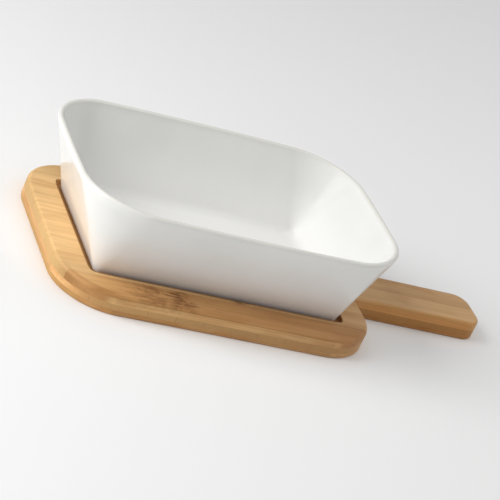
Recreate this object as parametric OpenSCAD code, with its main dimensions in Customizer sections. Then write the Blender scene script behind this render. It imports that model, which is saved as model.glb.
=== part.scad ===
// Porcelain serving dish standing loose in the pocket of a bamboo tray with a handle.
// The tray is glued up from three crossed plies of strips. X runs along the tray towards
// the handle, Y across it and Z up; the underside of the tray is at Z = 0.

/* [Dish] */
// Length over the lip
rim_l = 234; // [190:1:290]
// Width over the lip
rim_w = 157; // [130:1:200]
// Height from the foot to the top of the lip
dish_h = 60; // [45:1:80]
// How far each end wall leans out between foot and lip
lean_l = 27.5; // [15:0.5:35]
// How far each long wall leans out between foot and lip
lean_w = 25; // [14:0.5:30]
// Corner radius of the lip seen from above
rim_r = 43; // [30:1:60]
// Corner radius of the foot seen from above
foot_r = 4; // [3:0.5:12]
// Wall thickness
wall = 4; // [3:0.25:6]
// Thickness of the floor
floor_t = 5; // [4:0.25:7]

/* [Tray] */
// Wood between the pocket and each end of the tray
end_border = 22; // [16:0.5:36]
// Wood between the pocket and each long side of the tray
side_border = 24; // [16:0.5:36]
// Corner radius of the tray seen from above
tray_r = 40; // [28:1:50]
// Thickness of the top ply
top_ply = 7; // [5:0.25:10]
// Thickness of each of the two plies beneath it
under_ply = 4; // [3:0.25:6]
// Depth of the pocket that takes the dish
pocket_d = 3; // [2:0.25:3.5]
// Gap between the foot of the dish and the pocket wall
pocket_gap = 4.2; // [2.5:0.1:6]
// Rounding of the edges that are seen and held, along the top
top_ease = 2.5; // [1:0.25:3.5]
// Rounding of the edges along the underside
under_ease = 1.25; // [0.75:0.25:2.5]

/* [Handle] */
// Length beyond the end of the tray
handle_l = 107; // [70:1:150]
// Width
handle_w = 39; // [28:1:50]
// Corner radius at the tip
handle_r = 12; // [8:0.5:13.5]

/* [Hidden] */
side_strips = 8;
cross_strips = 17;
tray_t = top_ply + 2 * under_ply;
foot_l = rim_l - 2 * lean_l;
foot_w = rim_w - 2 * lean_w;
pocket_l = foot_l + 2 * pocket_gap;
pocket_w = foot_w + 2 * pocket_gap;
pocket_r = foot_r;
tray_l = pocket_l + 2 * end_border;
tray_w = pocket_w + 2 * side_border;
strip_w = tray_w / side_strips;
cross_w = (tray_l + handle_l) / cross_strips;
dish_z = tray_t - pocket_d;
over = 1;
handle_root = 2 * handle_r;

// Dish sections: the foot ring, the sides' outward bow at the lip and the corner facets.
ring_w = 4.5;
ring_h = 1.5;
ring_ease = 0.8;
bow_l = 3.5;
bow_w = 2.5;
corner_steps = 12;
side_steps = 6;
floor_fillet = 5;
floor_corner_r = 9;
fillet_steps = 6;
lip_steps = 8;
wall_steps = 6;
lip_r = wall / 2;

// One node's name, or "all".

// ---- Dish ----

// A section is [inset from the outer wall, height above the foot].
// How far the wall has flared at height z above the foot: 0 at the foot, 1 from where the
// rounding of the lip starts.
function flare(z) = min(z / (dish_h - lip_r), 1);
// Half length, half width and corner radius of the outer wall at height z above the foot.
function half_l(z) = foot_l / 2 + lean_l * flare(z);
function half_w(z) = foot_w / 2 + lean_w * flare(z);
function outer_r(z) = foot_r + (rim_r - foot_r) * flare(z);

// One corner's points, anticlockwise from angle a0, on a circle of radius r.
function arc(cx, cy, r, a0, steps) = [
    for (i = [0:steps])
        [cx + r * cos(a0 + 90 * i / steps), cy + r * sin(a0 + 90 * i / steps)]
];

// Points strictly between p and q.
function between(p, q, steps) = [for (i = [1:steps - 1]) p + (q - p) * i / steps];

// A rounded rectangle with intermediate points along its sides.
function outline(hl, hw, r) =
    let (
        a = arc(hl - r, hw - r, r, 0, corner_steps),
        b = arc(r - hl, hw - r, r, 90, corner_steps),
        c = arc(r - hl, r - hw, r, 180, corner_steps),
        d = arc(hl - r, r - hw, r, 270, corner_steps),
        n = corner_steps
    )
    concat(
        a, between(a[n], b[0], side_steps),
        b, between(b[n], c[0], side_steps),
        c, between(c[n], d[0], side_steps),
        d, between(d[n], a[0], side_steps)
    );

// Sides bow outwards more and more towards the lip; overall sizes stay as given.
function ring(s) =
    let (
        z = s[1],
        hl = half_l(z) - s[0],
        hw = half_w(z) - s[0],
        k = flare(z),
        r = max(outer_r(z) - s[0], min(s[0], floor_corner_r))
    )
    [for (p = outline(hl, hw, r)) [
        p[0] - k * bow_w * sign(p[0]) * pow(p[1] / hw, 2) * abs(p[0]) / hl,
        p[1] - k * bow_l * sign(p[1]) * pow(p[0] / hl, 2) * abs(p[1]) / hw,
        z
    ]];

// Sections in order: under the floor, round the foot, up the outside, over the lip,
// down the inside and round the fillet onto the floor.
under = [[ring_w + 2, ring_h], [ring_w + ring_ease, ring_h - 0.3], [ring_w, ring_ease / 2]];
foot = [[ring_w - ring_ease / 2, 0], [ring_ease, 0], [ring_ease * 0.3, ring_ease * 0.3], [0, ring_ease]];
outside = [for (i = [1:wall_steps]) [0, ring_ease + (dish_h - lip_r - ring_ease) * i / wall_steps]];
lip = [for (i = [1:lip_steps])
    let (a = 180 * i / lip_steps)
    [lip_r - lip_r * cos(a), dish_h - lip_r + lip_r * sin(a)]];
fillet_z = floor_t + floor_fillet;
inside = [for (i = [1:wall_steps]) [wall, dish_h - lip_r + (fillet_z - dish_h + lip_r) * i / wall_steps]];
fillet = [for (i = [1:fillet_steps])
    let (a = 90 * i / fillet_steps)
    [wall + floor_fillet * (1 - cos(a)), fillet_z - floor_fillet * sin(a)]];
sections = concat(under, foot, outside, lip, inside, fillet);

module dish() {
    rings = [for (s = sections) ring(s)];
    n = len(rings[0]);
    m = len(rings);
    points = [for (r = rings) for (p = r) p];
    walls = [for (j = [0:m - 2]) for (i = [0:n - 1])
        let (a = j * n + i, b = j * n + (i + 1) % n)
        each [[a, a + n, b + n], [a, b + n, b]]];
    under_cap = [[for (i = [0:n - 1]) i]];
    floor_cap = [[for (i = [0:n - 1]) m * n - 1 - i]];
    color("white")
        translate([0, 0, dish_z])
            polyhedron(points, concat(walls, under_cap, floor_cap), convexity = 6);
}

// ---- Tray ----

module rounded_square(l, w, r) {
    square([l - 2 * r, w], center = true);
    square([l, w - 2 * r], center = true);
    for (x = [-1, 1], y = [-1, 1])
        translate([x * (l / 2 - r), y * (w / 2 - r)])
            circle(r, $fn = 96);
}

// The tray seen from above, with its handle.
module outline_plan() {
    rounded_square(tray_l, tray_w, tray_r);
    translate([tray_l / 2 + (handle_l - handle_root) / 2, 0])
        rounded_square(handle_l + handle_root, handle_w, handle_r);
}

// What the router takes off an edge whose corner is at the origin and whose wood lies
// towards -x and -y. The arc meets both faces at a slight angle, e in from the corner.
module edge_section(e) {
    c = 1.15 * e;
    difference() {
        translate([-c, -c])
            square(c + over);
        translate([-c, -c])
            circle(norm([c, c - e]), $fn = 96);
    }
}

// Straight edge along X from x0 to x1, facing side y.
module edge_along_x(x0, x1, y, e) {
    translate([x0, y, tray_t])
        rotate([90, 0, 90])
            linear_extrude(x1 - x0)
                mirror([y > 0 ? 0 : 1, 0])
                    edge_section(e);
}

// Straight edge along Y from y0 to y1, facing side x.
module edge_along_y(y0, y1, x, e) {
    translate([x, y1, tray_t])
        rotate([90, 0, 0])
            linear_extrude(y1 - y0)
                mirror([x > 0 ? 0 : 1, 0])
                    edge_section(e);
}

// Quarter-turn edge round a corner of radius r centred at [cx, cy], turned to angle a.
module edge_round(cx, cy, r, a, e) {
    translate([cx, cy, tray_t])
        rotate([0, 0, a])
            rotate_extrude(angle = 90, $fn = 96)
                translate([r, 0])
                    edge_section(e);
}

// Every top edge that a strip between y0 and y1 can have; only those it reaches are cut.
module top_edges(y0, y1, e) {
    flat_x = tray_l / 2 - tray_r;
    flat_y = tray_w / 2 - tray_r;
    tip_x = tray_l / 2 + handle_l;
    reach = max(abs(y0), abs(y1));
    side = y0 + y1 > 0 ? 1 : -1;
    if (min(abs(y0), abs(y1)) < flat_y)
        edge_along_y(-flat_y, flat_y, -tray_l / 2, e);
    if (reach > flat_y) {
        edge_round(flat_x, side * flat_y, tray_r, side > 0 ? 0 : 270, e);
        edge_round(-flat_x, side * flat_y, tray_r, side > 0 ? 90 : 180, e);
    }
    if (reach > tray_w / 2 - e)
        edge_along_x(-flat_x, flat_x, side * tray_w / 2, e);
    if (reach > handle_w / 2 && min(abs(y0), abs(y1)) < flat_y)
        edge_along_y(
            side > 0 ? handle_w / 2 : -flat_y,
            side > 0 ? flat_y : -handle_w / 2,
            tray_l / 2,
            e
        );
    if (min(abs(y0), abs(y1)) < handle_w / 2) {
        edge_along_y(handle_r - handle_w / 2, handle_w / 2 - handle_r, tip_x, e);
        if (reach > handle_w / 2 - handle_r) {
            edge_round(
                tip_x - handle_r,
                side * (handle_w / 2 - handle_r),
                handle_r,
                side > 0 ? 0 : 270,
                e
            );
            edge_along_x(tray_l / 2, tip_x - handle_r, side * handle_w / 2, e);
        }
    }
}

module pocket() {
    translate([0, 0, dish_z])
        linear_extrude(pocket_d + over)
            rounded_square(pocket_l, pocket_w, pocket_r);
}

// Strip i of an outer ply of thickness t lying as the top one does, with its outer edges
// rounded by e.
module long_strip(i, t, e) {
    y0 = (i - 1) * strip_w - tray_w / 2;
    difference() {
        translate([0, 0, tray_t - t])
            linear_extrude(t)
                intersection() {
                    outline_plan();
                    translate([-tray_l / 2 - over, y0])
                        square([tray_l + handle_l + 2 * over, strip_w]);
                }
        top_edges(y0, y0 + strip_w, e);
    }
}

module top_strip(i) {
    color("burlywood")
        difference() {
            long_strip(i, top_ply, top_ease);
            pocket();
        }
}

module core_strip(i) {
    color("peru")
        translate([0, 0, under_ply])
            linear_extrude(under_ply)
                intersection() {
                    outline_plan();
                    translate([-tray_l / 2 + (i - 1) * cross_w, -tray_w / 2 - over])
                        square([cross_w, tray_w + 2 * over]);
                }
}

// The bottom ply is the top one turned over, without the pocket.
module bottom_strip(i) {
    color("tan")
        translate([0, 0, tray_t])
            mirror([0, 0, 1])
                long_strip(i, under_ply, under_ease);
}

dish();
for (i = [1:side_strips])
    top_strip(i);
for (i = [1:cross_strips])
    core_strip(i);
for (i = [1:side_strips])
    bottom_strip(i);
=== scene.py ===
import math
import random

import bmesh
import bpy
from mathutils import Matrix, Vector


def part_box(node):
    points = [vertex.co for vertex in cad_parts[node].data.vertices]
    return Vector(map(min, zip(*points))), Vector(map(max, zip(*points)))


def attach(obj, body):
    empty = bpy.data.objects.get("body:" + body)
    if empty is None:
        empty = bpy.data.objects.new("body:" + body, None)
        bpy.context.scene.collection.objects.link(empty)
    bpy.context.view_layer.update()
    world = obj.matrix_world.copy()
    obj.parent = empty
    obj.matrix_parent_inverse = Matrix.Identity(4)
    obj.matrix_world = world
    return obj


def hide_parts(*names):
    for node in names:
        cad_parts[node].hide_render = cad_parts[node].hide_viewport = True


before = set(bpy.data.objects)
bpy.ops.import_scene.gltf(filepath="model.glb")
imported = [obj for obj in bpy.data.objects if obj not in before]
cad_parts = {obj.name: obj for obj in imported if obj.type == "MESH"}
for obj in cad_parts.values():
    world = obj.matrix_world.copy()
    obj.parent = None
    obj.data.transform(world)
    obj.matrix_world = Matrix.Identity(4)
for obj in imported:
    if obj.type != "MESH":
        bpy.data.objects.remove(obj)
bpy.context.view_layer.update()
studio = bpy.context.scene


# ---- The dish ----
# One piece of porcelain, slip cast in a plaster mould. Its four walls are nearly flat and lean
# out from a small foot, its corners open up like fans, and it is dipped in a white glaze that
# is wiped off the foot ring so that it does not stick to the kiln shelf.

dish_low, dish_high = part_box("dish")
dish_base = dish_low[2]
dish_height = dish_high[2] - dish_low[2]
wall = 0.004
lip_radius = wall / 2
rim_length = dish_high[0] - dish_low[0]
rim_width = dish_high[1] - dish_low[1]
rim_corner = 0.043
lean_out_ends = 0.0275
lean_out_sides = 0.025
foot_corner = 0.004
floor_thickness = 0.005
floor_fillet = 0.005
floor_corner = 0.009
side_bow = 0.0035
end_bow = 0.0025
ring_width = 0.0045
ring_height = 0.0015
ring_ease = 0.0008
ring_slope = 0.002
ring_chamfer = 0.0003


def arc_steps(count, turn):
    return [turn * i / count for i in range(1, count + 1)]


def dish_template():
    """The mould maker's template, from the middle of the foot up and over into the dish.

    Each point is (inset from the outer wall, share of the way out, height).
    """
    hollow = ring_width + ring_slope
    points = [(hollow, share / 4, ring_height) for share in range(5)]
    points.append((ring_width + ring_ease, 1.0, ring_height - ring_chamfer))
    points.append((ring_width, 1.0, ring_ease / 2))
    points.append((ring_width - ring_ease / 2, 1.0, 0.0))
    for angle in arc_steps(5, math.pi / 2):
        reach = ring_ease * (1 - math.sin(angle))
        points.append((reach, 1.0, ring_ease * (1 - math.cos(angle))))
    wall_top = dish_height - lip_radius
    for share in arc_steps(14, 1.0):
        points.append((0.0, 1.0, ring_ease + (wall_top - ring_ease) * share))
    for angle in arc_steps(16, math.pi):
        inset = lip_radius * (1 - math.cos(angle))
        points.append((inset, 1.0, wall_top + lip_radius * math.sin(angle)))
    fillet_top = floor_thickness + floor_fillet
    for share in arc_steps(14, 1.0):
        points.append((wall, 1.0, wall_top + (fillet_top - wall_top) * share))
    for angle in arc_steps(12, math.pi / 2):
        inset = wall + floor_fillet * (1 - math.cos(angle))
        points.append((inset, 1.0, fillet_top - floor_fillet * math.sin(angle)))
    points += [(wall + floor_fillet, 1.0 - share, floor_thickness) for share in arc_steps(8, 1.0)]
    return points


class Form:
    """A geometry node tree with named sizes, written as sums of sockets and numbers."""

    def __init__(self, name):
        self.tree = bpy.data.node_groups.new(name, "GeometryNodeTree")
        self.inlet = self.tree.nodes.new("NodeGroupInput")
        self.outlet = self.tree.nodes.new("NodeGroupOutput")
        self.settings = {}
        for way in ("INPUT", "OUTPUT"):
            self.tree.interface.new_socket(
                name="Geometry", in_out=way, socket_type="NodeSocketGeometry")

    def size(self, label, value, kind="NodeSocketFloat"):
        socket = self.tree.interface.new_socket(name=label, in_out="INPUT", socket_type=kind)
        self.settings[socket.identifier] = value
        return self.inlet.outputs[label]

    def node(self, kind, feeds, **choices):
        made = self.tree.nodes.new(kind)
        for key, value in choices.items():
            setattr(made, key, value)
        for socket, value in feeds.items():
            if isinstance(value, bpy.types.NodeSocket):
                self.tree.links.new(value, made.inputs[socket])
            else:
                made.inputs[socket].default_value = value
        return made

    def sum(self, operation, *terms):
        return self.node("ShaderNodeMath", dict(enumerate(terms)), operation=operation).outputs[0]

    def plus(self, a, b):
        return self.sum("ADD", a, b)

    def minus(self, a, b):
        return self.sum("SUBTRACT", a, b)

    def times(self, a, b):
        return self.sum("MULTIPLY", a, b)

    def over(self, a, b):
        return self.sum("DIVIDE", a, b)

    def blend(self, a, b, share):
        return self.plus(a, self.times(self.minus(b, a), share))

    def make(self, piece):
        """Runs the tree on a piece's mesh and leaves a plain mesh behind."""
        modifier = piece.modifiers.new("form", "NODES")
        modifier.node_group = self.tree
        for identifier, value in self.settings.items():
            modifier[identifier] = value
        evaluated = piece.evaluated_get(bpy.context.evaluated_depsgraph_get())
        shape = bpy.data.meshes.new_from_object(evaluated)
        piece.modifiers.clear()
        piece.data = shape


def dish_form(template_rows, glaze):
    """A sheet of rows and columns wrapped round the template; rows rise, columns go round."""
    form = Form("flared_dish")
    foot_half_length = form.size("Foot half length", rim_length / 2 - lean_out_ends)
    foot_half_width = form.size("Foot half width", rim_width / 2 - lean_out_sides)
    lean_length = form.size("Lean of the ends", lean_out_ends)
    lean_width = form.size("Lean of the sides", lean_out_sides)
    corner_low = form.size("Foot corner radius", foot_corner)
    corner_high = form.size("Rim corner radius", rim_corner)
    corner_floor = form.size("Floor corner radius", floor_corner)
    flare_height = form.size("Height of the flare", dish_height - lip_radius)
    bow_along = form.size("Bow of the long sides", side_bow)
    bow_across = form.size("Bow of the ends", end_bow)
    base = form.size("Height of the foot above the table", dish_base)
    rows = form.size("Rows", template_rows, "NodeSocketInt")
    arc_columns = form.size("Columns round a corner", 26, "NodeSocketInt")
    side_columns = form.size("Columns along a side", 14, "NodeSocketInt")
    finish = form.size("Glaze", glaze, "NodeSocketMaterial")

    quarter = form.plus(arc_columns, side_columns)
    columns = form.plus(form.times(quarter, 4.0), 1.0)
    sheet = form.node("GeometryNodeMeshGrid", {
        "Size X": 1.0, "Size Y": 1.0, "Vertices X": columns, "Vertices Y": rows})
    position = form.node("GeometryNodeInputPosition", {}).outputs[0]
    spot = form.node("ShaderNodeSeparateXYZ", {0: position})
    turn = form.times(form.plus(spot.outputs["X"], 0.5), 4.0)
    row = form.times(form.plus(spot.outputs["Y"], 0.5), form.minus(rows, 1.0))
    sampled = form.node(
        "GeometryNodeSampleIndex",
        {
            "Geometry": form.inlet.outputs["Geometry"],
            "Value": position,
            "Index": form.sum("ROUND", row),
        },
        data_type="FLOAT_VECTOR",
    )
    profile = form.node("ShaderNodeSeparateXYZ", {0: sampled.outputs[0]})
    inset = profile.outputs["X"]
    share_out = profile.outputs["Y"]
    height = profile.outputs["Z"]

    flare = form.sum("MINIMUM", form.over(height, flare_height), 1.0)
    half_length = form.minus(form.plus(foot_half_length, form.times(lean_length, flare)), inset)
    half_width = form.minus(form.plus(foot_half_width, form.times(lean_width, flare)), inset)
    radius = form.sum(
        "MAXIMUM",
        form.minus(form.blend(corner_low, corner_high, flare), inset),
        form.sum("MINIMUM", inset, corner_floor),
    )

    # Each quarter turn is a corner arc followed by the straight side to the next corner.
    corner = form.sum("FLOOR", form.plus(turn, 0.0001))
    way = form.sum("MAXIMUM", form.minus(turn, corner), 0.0)
    arc_share = form.over(arc_columns, quarter)
    round_corner = form.sum("MINIMUM", form.over(way, arc_share), 1.0)
    along_side = form.sum(
        "MAXIMUM", form.over(form.minus(way, arc_share), form.minus(1.0, arc_share)), 0.0)
    bearing = form.times(form.plus(corner, 0.5), math.pi / 2)
    corner_x = form.sum("SIGN", form.sum("COSINE", bearing))
    corner_y = form.sum("SIGN", form.sum("SINE", bearing))
    centre_x = form.blend(corner_x, form.times(corner_y, -1.0), along_side)
    centre_y = form.blend(corner_y, corner_x, along_side)
    angle = form.times(form.plus(corner, round_corner), math.pi / 2)
    flat_x = form.plus(
        form.times(centre_x, form.minus(half_length, radius)),
        form.times(radius, form.sum("COSINE", angle)))
    flat_y = form.plus(
        form.times(centre_y, form.minus(half_width, radius)),
        form.times(radius, form.sum("SINE", angle)))

    # The sides bow out a little towards the lip.
    def drawn_in(length, across, reach, other_reach, bow):
        fall = form.sum("POWER", form.over(across, other_reach), 2.0)
        pull = form.over(form.times(form.times(flare, bow), fall), reach)
        return form.times(length, form.minus(1.0, pull))

    end_x = drawn_in(flat_x, flat_y, half_length, half_width, bow_across)
    end_y = drawn_in(flat_y, flat_x, half_width, half_length, bow_along)
    place = form.node("ShaderNodeCombineXYZ", {
        "X": form.times(end_x, share_out),
        "Y": form.times(end_y, share_out),
        "Z": form.plus(height, base),
    })
    wrapped = form.node("GeometryNodeSetPosition", {
        "Geometry": sheet.outputs["Mesh"], "Position": place.outputs[0]})
    sealed = form.node("GeometryNodeMergeByDistance", {
        "Geometry": wrapped.outputs[0], "Distance": 0.000002})
    smooth = form.node("GeometryNodeSetShadeSmooth", {"Geometry": sealed.outputs[0]})
    real = form.node("GeometryNodeRealizeInstances", {"Geometry": smooth.outputs[0]})
    glazed = form.node("GeometryNodeSetMaterial", {
        "Geometry": real.outputs[0], "Material": finish})
    form.tree.links.new(glazed.outputs[0], form.outlet.inputs[0])
    return form


class Finish:
    """A material built from nodes, on one Principled shader, in the piece's own coordinates."""

    def __init__(self, name):
        self.material = bpy.data.materials.new(name)
        self.material.use_nodes = True
        self.tree = self.material.node_tree
        self.tree.nodes.clear()
        self.shader = self.node("ShaderNodeBsdfPrincipled", {})
        self.node("ShaderNodeOutputMaterial", {"Surface": self.shader.outputs["BSDF"]})
        coordinates = self.node("ShaderNodeTexCoord", {})
        self.where = coordinates.outputs["Object"]
        self.facing = coordinates.outputs["Normal"]

    def node(self, kind, feeds, **choices):
        made = self.tree.nodes.new(kind)
        for key, value in choices.items():
            setattr(made, key, value)
        for socket, value in feeds.items():
            if isinstance(value, bpy.types.NodeSocket):
                self.tree.links.new(value, made.inputs[socket])
            else:
                made.inputs[socket].default_value = value
        return made

    def sum(self, operation, *terms):
        return self.node("ShaderNodeMath", dict(enumerate(terms)), operation=operation).outputs[0]

    def placed(self, shift, scale):
        return self.node("ShaderNodeMapping", {
            "Vector": self.where, "Location": shift, "Scale": scale}).outputs[0]

    def noise(self, place, scale, detail, roughness):
        return self.node("ShaderNodeTexNoise", {
            "Vector": place, "Scale": scale, "Detail": detail, "Roughness": roughness}).outputs[0]

    def between(self, value, low, high, from_value=0.0, to_value=1.0):
        return self.node("ShaderNodeMapRange", {
            "Value": value, "From Min": low, "From Max": high,
            "To Min": from_value, "To Max": to_value}, interpolation_type="SMOOTHSTEP").outputs[0]

    def blend(self, share, a, b, kind="MIX"):
        return self.node("ShaderNodeMix", {0: share, 6: a, 7: b},
                         data_type="RGBA", blend_type=kind).outputs[2]

    def axes(self, vector):
        return self.node("ShaderNodeSeparateXYZ", {0: vector}).outputs

    def bump(self, layers):
        """Stacks bumps, each (height, depth in metres)."""
        normal = None
        for height, depth in layers:
            feeds = {"Height": height, "Distance": depth}
            if normal is not None:
                feeds["Normal"] = normal
            normal = self.node("ShaderNodeBump", feeds).outputs[0]
        self.tree.links.new(normal, self.shader.inputs["Normal"])

    def set(self, socket, value):
        if isinstance(value, bpy.types.NodeSocket):
            self.tree.links.new(value, self.shader.inputs[socket])
        else:
            self.shader.inputs[socket].default_value = value


def rgb(red, green, blue):
    return (red, green, blue, 1.0)


glaze_shade = rgb(0.81, 0.815, 0.785)
glaze_light = rgb(0.85, 0.852, 0.828)
lip_cream = rgb(0.78, 0.77, 0.72)
# Painted light: whiter glaze low on the walls, standing in for light the lower walls lack.
painted_light_low_white = rgb(0.91, 0.905, 0.885)
iron_speck = rgb(0.45, 0.38, 0.3)
bare_clay = rgb(0.74, 0.71, 0.65)
clay_roughness = 0.75


def white_glaze():
    glaze = Finish("white_glaze")
    height = glaze.axes(glaze.where)["Z"]
    cloud = glaze.noise(glaze.where, 14.0, 3.0, 0.5)
    body = glaze.blend(glaze.between(cloud, 0.35, 0.65), glaze_shade, glaze_light)
    # The glaze is creamier over the lip. Low down it is painted whiter: painted light that lifts
    # the shade the tray casts on the lower walls.
    rim_top = dish_base + dish_height
    lip_share = glaze.between(height, rim_top - 0.0025, rim_top)
    body = glaze.blend(lip_share, body, lip_cream)
    painted_light_low_share = glaze.between(height, dish_base + 0.045, dish_base + 0.004)
    body = glaze.blend(painted_light_low_share, body, painted_light_low_white)
    speck_place = glaze.placed((0.3, 0.7, 0.1), (1.0, 1.0, 1.0))
    specks = glaze.node("ShaderNodeTexVoronoi", {"Vector": speck_place, "Scale": 70.0})
    speck = glaze.between(specks.outputs["Distance"], 0.03, 0.015)
    body = glaze.blend(glaze.sum("MULTIPLY", speck, 0.25), body, iron_speck)
    # The foot ring is bare, so it is duller and drier than the rest.
    bare = glaze.between(height, dish_base + 0.0009, dish_base + 0.0005)
    body = glaze.blend(bare, body, bare_clay)
    glaze.set("Base Color", body)
    sheen = glaze.between(glaze.noise(glaze.where, 45.0, 3.0, 0.6), 0.3, 0.7, 0.1, 0.17)
    glaze.set("Roughness", glaze.node("ShaderNodeMix", {
        0: bare, 2: sheen, 3: clay_roughness}, data_type="FLOAT").outputs[0])
    glaze.set("IOR", 1.46)
    glaze.set("Specular IOR Level", 0.3)
    ripple = glaze.noise(glaze.where, 30.0, 2.0, 0.5)
    peel = glaze.noise(glaze.where, 420.0, 2.0, 0.5)
    glaze.bump([(ripple, 0.00025), (peel, 0.000012)])
    return glaze.material


template = dish_template()
dish_mesh = bpy.data.meshes.new("dish_template")
dish_mesh.from_pydata(template, [(i, i + 1) for i in range(len(template) - 1)], [])
dish_piece = bpy.data.objects.new("porcelain_dish", dish_mesh)
studio.collection.objects.link(dish_piece)
dish_form(len(template), white_glaze()).make(dish_piece)
faces = bmesh.new()
faces.from_mesh(dish_piece.data)
bmesh.ops.recalc_face_normals(faces, faces=faces.faces)
faces.to_mesh(dish_piece.data)
faces.free()
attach(dish_piece, "dish")
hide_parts("dish")


# ---- The top ply of the tray ----
# Eight strips split from bamboo culms, planed square and glued edge to edge, lying along the
# tray. The dish's pocket is routed into them, and the two middle ones run on into the handle.
# Each comes from another culm, so it has its own tone and its own scars where the joints were.

straw = (0.79, 0.522, 0.243)
fibre_brown = (0.76, 0.68, 0.6)
vessel_brown = (0.6, 0.48, 0.38)
joint_brown = (0.36, 0.25, 0.18)
pore_brown = (0.6, 0.5, 0.42)
glue_brown = (0.55, 0.44, 0.34)
# Painted shade towards the handle, where the dish's shadow falls.
handle_shade_brown = (0.75, 0.695, 0.71)
# Painted shade in the pocket's gap round the dish.
pocket_shade_brown = (0.5, 0.38, 0.28)
corner_brown = (0.68, 0.58, 0.5)
handle_side_brown = (0.93, 0.8, 0.58)
tray_end = -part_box("top_strip_4")[0][0]
tray_side = -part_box("top_strip_1")[0][1]
tray_corner = 0.04
end_border = 0.022
side_border = 0.024
pocket_gap = 0.0042
pocket_end = tray_end - end_border
pocket_side = tray_side - side_border
pocket_corner = foot_corner + pocket_gap


class Bamboo(Finish):
    """Bamboo split along one axis: the fibres run that way and the sawn ends face it."""

    def __init__(self, name, tone, seed, along):
        super().__init__(name)
        self.tone = tone
        self.along = along
        self.across = "Y" if along == "X" else "X"
        chance = random.Random(seed)
        self.shift = tuple(chance.uniform(-8.0, 8.0) for _ in range(3))
        self.place = self.axes(self.where)
        self.face = self.axes(self.facing)
        self.band = self.noise(self.grain(5.0, 110.0), 1.0, 3.0, 0.5)
        self.fibre = self.noise(self.grain(16.0, 900.0), 1.0, 4.0, 0.65)
        self.dash = self.noise(self.grain(70.0, 2100.0), 1.0, 2.0, 0.5)

    def grain(self, lengthways, crossways):
        if self.along == "X":
            return self.placed(self.shift, (lengthways, crossways, crossways))
        return self.placed(self.shift, (crossways, lengthways, crossways))

    def shade(self, red, green, blue):
        return rgb(self.tone[0] * red, self.tone[1] * green, self.tone[2] * blue)

    def tint(self, share, colour, red, green, blue):
        return self.blend(share, colour, rgb(red, green, blue), "MULTIPLY")

    def fibres(self):
        """Broad bands, fine fibres and short dark vascular dashes, all along the culm."""
        pale = self.shade(1.08, 1.09, 1.1)
        colour = self.blend(self.between(self.band, 0.3, 0.7), self.shade(0.93, 0.9, 0.86), pale)
        colour = self.tint(self.between(self.fibre, 0.6, 0.36, 0.0, 0.45), colour, *fibre_brown)
        return self.tint(self.between(self.dash, 0.66, 0.74, 0.0, 0.5), colour, *vessel_brown)

    def clouded(self, colour, size, share, red, green, blue):
        """Soft patches, three times as long as they are wide, where the culm was darker."""
        cloud = self.noise(self.grain(0.33 / size, 1.0 / size), 1.0, 2.0, 0.5)
        return self.tint(self.between(cloud, 0.45, 0.7, 0.0, share), colour, red, green, blue)

    def scarred(self, colour, spot, reach, share):
        """A culm joint: a ragged brown smudge with dark threads running out along the fibres."""
        threads = self.noise(self.grain(30.0, 700.0), 1.0, 3.0, 0.7)
        smudge = self.noise(self.grain(160.0, 210.0), 1.0, 4.0, 0.65)
        off = self.sum("ABSOLUTE", self.sum("SUBTRACT", self.place[self.along], spot))
        frayed = self.sum("MULTIPLY", self.sum("SUBTRACT", threads, 0.5), reach * 3.0)
        mark = self.between(self.sum("ADD", off, frayed), reach, 0.0)
        patchy = self.sum("MULTIPLY", mark, self.between(smudge, 0.36, 0.6, 0.2 * share, share))
        skin = self.between(self.sum("ABSOLUTE", self.face["Z"]), 0.2, 0.8, 0.35, 1.0)
        patchy = self.sum("MULTIPLY", patchy, skin)
        return self.tint(patchy, colour, *joint_brown)

    def sawn(self, colour):
        """Cut across, the fibres show as dark dots in browner wood that drinks more oil."""
        end = self.between(self.sum("ABSOLUTE", self.face[self.along]), 0.5, 0.95)
        dots = self.node("ShaderNodeTexVoronoi", {
            "Vector": self.placed(self.shift, (1.0, 1.0, 1.0)), "Scale": 1150.0})
        dot = self.between(dots.outputs["Distance"], 0.34, 0.16, 0.0, 0.5)
        cut = self.tint(dot, self.shade(0.76, 0.72, 0.62), *pore_brown)
        return self.blend(end, colour, cut)

    def flanked(self, colour, red, green, blue):
        """The long side of a strip has its own tone, set apart from that of its top."""
        side = self.between(self.sum("ABSOLUTE", self.face[self.across]), 0.95, 0.999)
        return self.tint(side, colour, red, green, blue)

    def glued(self, colour, node, axis):
        """Glue in the joint with the next strip darkens a hairline along each edge."""
        low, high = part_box(node)
        middle = (low[axis] + high[axis]) / 2
        half_width = (high[axis] - low[axis]) / 2
        off = self.sum("ABSOLUTE", self.sum("SUBTRACT", self.place[self.across], middle))
        self.seam = self.between(off, half_width - 0.0004, half_width - 0.0001, 0.0, 0.3)
        return self.tint(self.seam, colour, *glue_brown)

    def oiled(self, colour):
        """The wood is oiled and a little unevenly polished."""
        polish = self.noise(self.where, 35.0, 4.0, 0.6)
        colour = self.tint(self.between(polish, 0.3, 0.75, 0.0, 0.5), colour, 1.1, 1.1, 1.1)
        self.set("Base Color", colour)
        self.set("Roughness", self.sum(
            "ADD",
            self.between(self.fibre, 0.3, 0.7, 0.52, 0.4),
            self.between(polish, 0.3, 0.7, 0.0, 0.12),
        ))
        self.set("IOR", 1.45)
        self.set("Specular IOR Level", 0.35)
        self.bump([
            (self.band, 0.00025),
            (self.fibre, 0.0001),
            (self.dash, 0.00004),
            (self.seam, -0.00008),
        ])
        return self.material


def strip_tone(chance, base, spread):
    """One culm's own tone: a little lighter or darker, and a little redder or yellower."""
    shade = chance.uniform(1.0 - spread, 1.0 + spread)
    warmth = chance.uniform(-0.5, 0.5) * spread
    red, green, blue = base
    return (red * shade, green * shade * (1.0 - warmth * 0.4), blue * shade * (1.0 - warmth))


def numbered(kind):
    found = [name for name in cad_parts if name.startswith(kind)]
    return sorted(found, key=lambda name: int(name.rsplit("_", 1)[1]))


def dress(node, material):
    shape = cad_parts[node].data
    shape.materials.clear()
    shape.materials.append(material)


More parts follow.
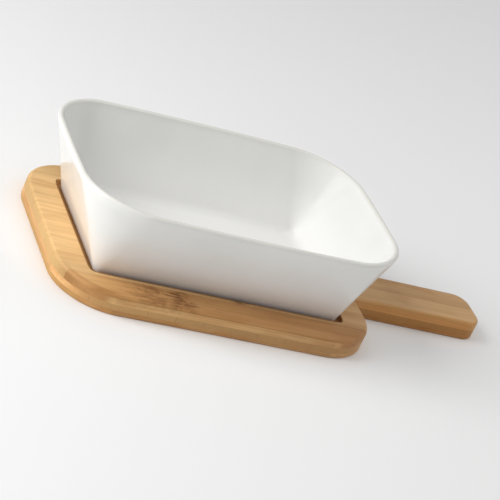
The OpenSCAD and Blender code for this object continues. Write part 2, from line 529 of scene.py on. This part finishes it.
def painted_shade_to_handle(wood, colour):
    """Painted shade: the wood is painted browner towards the handle, standing in for the dish's
    shadow and the fall of the left lamps' light there.
    """
    share = wood.between(wood.place["X"], -tray_end, tray_end)
    return wood.tint(share, colour, *handle_shade_brown)


def outside(wood, half_length, half_width, corner):
    """How far a point lies outside a rounded oblong, in metres; below zero inside it."""
    squares = []
    for axis, half in (("X", half_length), ("Y", half_width)):
        past = wood.sum("SUBTRACT", wood.sum("ABSOLUTE", wood.place[axis]), half - corner)
        squares.append(wood.sum("POWER", wood.sum("MAXIMUM", past, 0.0), 2.0))
    return wood.sum("SUBTRACT", wood.sum("SQRT", wood.sum("ADD", *squares)), corner)


def painted_pocket_shade(wood, colour):
    """Painted shade: the pocket's wall, and its floor close to the wall, are painted browner, as
    the shade in the gap round the dish.
    """
    off = outside(wood, pocket_end, pocket_side, pocket_corner)
    cut = wood.between(off, 0.0012, 0.0003)
    beside = wood.between(off, -0.008, -0.004, 0.25, 1.0)
    return wood.tint(wood.sum("MULTIPLY", cut, beside), colour, *pocket_shade_brown)


def browned_corner(wood, colour, share):
    """The edge of the front left corner is browner and streakier than the rest."""
    edge = wood.between(outside(wood, tray_end, tray_side, tray_corner), -0.006, -0.002, 0.0, share)
    for axis, half in (("X", tray_end), ("Y", tray_side)):
        near = wood.between(wood.place[axis], -0.58 * half, -0.82 * half)
        edge = wood.sum("MULTIPLY", edge, near)
    streaky = wood.sum("MULTIPLY", edge, wood.between(wood.fibre, 0.35, 0.6, 0.55, 1.0))
    return wood.tint(streaky, colour, *corner_brown)


def browned_handle_sides(wood, colour):
    """The sides of the handle are browner than its top."""
    hold = wood.between(wood.place["X"], 0.9 * tray_end, 1.2 * tray_end)
    side = wood.between(wood.sum("ABSOLUTE", wood.face["Y"]), 0.15, 0.75)
    return wood.tint(wood.sum("MULTIPLY", hold, side), colour, *handle_side_brown)


# The strip along the front is painted the brownest on its top, as painted shade from the dish's rim
# that overhangs it; its side is tinted back up, and it is painted paler at the end away from the
# handle, which lies out of that shade. It has two joints, a narrow one and a wide one. The joints
# of the others are mostly under the dish, and the palest strips lie in the middle.
top_chance = random.Random(11)
palest_place = 3.5
for place, name in enumerate(numbered("top_strip_"), start=1):
    paleness = 1.05 - 0.03 * abs(place - palest_place)
    tone = strip_tone(top_chance, [part * paleness for part in straw], 0.025)
    joints = [(top_chance.uniform(-0.6, 0.6) * tray_end, 0.008, 0.8)]
    flank = (1.08, 1.0, 0.9)
    if place == 1:
        # Painted shade: the front strip's top is painted dark for the shadow of the dish's
        # overhanging rim.
        tone = (straw[0] * 0.78, straw[1] * 0.65, straw[2] * 0.52)
        joints = [(-0.28 * tray_end, 0.012, 0.85), (-0.46 * tray_end, 0.026, 0.7)]
        # The side tint lifts the front strip's side face back up, out of the painted shade on its
        # top.
        flank = (1.42, 1.68, 1.98)
    wood = Bamboo("bamboo_" + name, tone, name, "X")
    shown = wood.clouded(wood.fibres(), 0.011, 0.6, 0.86, 0.78, 0.68)
    shown = painted_shade_to_handle(wood, shown)
    for joint in joints:
        shown = wood.scarred(shown, *joint)
    if place == 1:
        # The painted shade fades out towards the end away from the handle, beyond the dish's
        # shadow.
        end_out_of_painted_shade = wood.between(wood.place["X"], -0.6 * tray_end, -0.95 * tray_end)
        shown = wood.tint(end_out_of_painted_shade, shown, 1.2, 1.3, 1.42)
    shown = browned_handle_sides(wood, wood.sawn(wood.flanked(shown, *flank)))
    shown = browned_corner(wood, painted_pocket_shade(wood, shown), 0.95)
    dress(name, wood.oiled(wood.glued(shown, name, 1)))


# ---- The core ply ----
# Seventeen strips laid across the tray between the two outer plies, so that it stays flat when
# it is washed. Only their sawn ends and the two outermost flanks are seen, along the edge.

core_chance = random.Random(23)
for name in numbered("core_strip_"):
    tone = strip_tone(core_chance, (straw[0], straw[1] * 0.94, straw[2] * 0.9), 0.05)
    wood = Bamboo("bamboo_" + name, tone, name, "Y")
    shown = wood.sawn(wood.clouded(wood.fibres(), 0.007, 0.6, 0.9, 0.74, 0.62))
    shown = painted_shade_to_handle(wood, wood.flanked(shown, 0.88, 0.85, 0.8))
    shown = browned_handle_sides(wood, shown)
    dress(name, wood.oiled(wood.glued(browned_corner(wood, shown, 0.4), name, 0)))


# ---- The bottom ply ----
# Eight more strips of browner wood laid along the tray, like the top ones but with no pocket.
# They are planed flat, because the tray stands on them with no feet.

bottom_chance = random.Random(37)
for name in numbered("bottom_strip_"):
    tone = strip_tone(bottom_chance, (straw[0] * 0.88, straw[1] * 0.8, straw[2] * 0.7), 0.05)
    joint = (bottom_chance.uniform(-0.7, 1.6) * tray_end, 0.007, 0.7)
    wood = Bamboo("bamboo_" + name, tone, name, "X")
    shown = wood.clouded(wood.fibres(), 0.009, 0.7, 0.88, 0.74, 0.6)
    shown = wood.sawn(wood.scarred(painted_shade_to_handle(wood, shown), *joint))
    shown = browned_handle_sides(wood, shown)
    dress(name, wood.oiled(wood.glued(browned_corner(wood, shown, 0.4), name, 1)))


# ---- Floor, light and camera ----
# A pale floor, two soft lights one above the other at the left, a wider one at the handle's
# end, and a camera held low at the front left and tilted, so that the handle runs down to the
# right.

floor_mesh = bpy.data.meshes.new("floor")
floor_shape = bmesh.new()
bmesh.ops.create_grid(floor_shape, x_segments=4, y_segments=4, size=4.0)
floor_shape.to_mesh(floor_mesh)
floor_shape.free()
floor = bpy.data.objects.new("floor", floor_mesh)
studio.collection.objects.link(floor)
paper = Finish("pale_paper")
paper.set("Base Color", paper.blend(
    paper.noise(paper.where, 3.0, 2.0, 0.5), rgb(0.95, 0.95, 0.95), rgb(0.97, 0.97, 0.97)))
paper.set("Roughness", 0.9)
floor_mesh.materials.append(paper.material)

surround_strength = 0.42
surround = bpy.data.worlds.new("studio_walls")
studio.world = surround
surround.use_nodes = True
glow = surround.node_tree.nodes["Background"].inputs
glow["Color"].default_value = rgb(1.0, 1.0, 1.0)
glow["Strength"].default_value = surround_strength


def softbox(name, bearing, elevation, distance, size, power):
    """A square area light aimed at the middle of the object, angles in degrees from +X."""
    turn, rise = math.radians(bearing), math.radians(elevation)
    outwards = Vector((
        math.cos(turn) * math.cos(rise), math.sin(turn) * math.cos(rise), math.sin(rise)))
    lamp = bpy.data.lights.new(name, "AREA")
    lamp.size = size
    lamp.energy = power
    holder = bpy.data.objects.new(name, lamp)
    holder.location = outwards * distance
    holder.rotation_euler = outwards.to_track_quat("Z", "Y").to_euler()
    studio.collection.objects.link(holder)


softbox("low_left_light", bearing=180, elevation=20, distance=1.3, size=0.8, power=5.0)
softbox("high_left_light", bearing=180, elevation=40, distance=1.3, size=0.8, power=8.1)
softbox("right_light", bearing=0, elevation=40, distance=1.6, size=1.2, power=5.2)

view_yaw = math.radians(-28.37)
view_pitch = math.radians(24.9)
view_roll = math.radians(25.2)
view_distance = 1.4415
aim_right = 0.0403
aim_up = 0.0127
backwards = Vector((
    math.sin(view_yaw) * math.cos(view_pitch),
    -math.cos(view_yaw) * math.cos(view_pitch),
    math.sin(view_pitch),
))
level_right = Vector((0, 0, 1)).cross(backwards).normalized()
level_up = backwards.cross(level_right)
right = math.cos(view_roll) * level_right + math.sin(view_roll) * level_up
up = backwards.cross(right)
lens = bpy.data.cameras.new("camera")
lens.sensor_width = 36.0
lens.lens = 152.67
lens.clip_end = 20.0
camera = bpy.data.objects.new("camera", lens)
stand = backwards * view_distance + right * aim_right + up * aim_up
turned = Matrix((right, up, backwards)).transposed().to_4x4()
camera.matrix_world = Matrix.Translation(stand) @ turned
studio.collection.objects.link(camera)
studio.camera = camera
studio.view_settings.view_transform = "Standard"
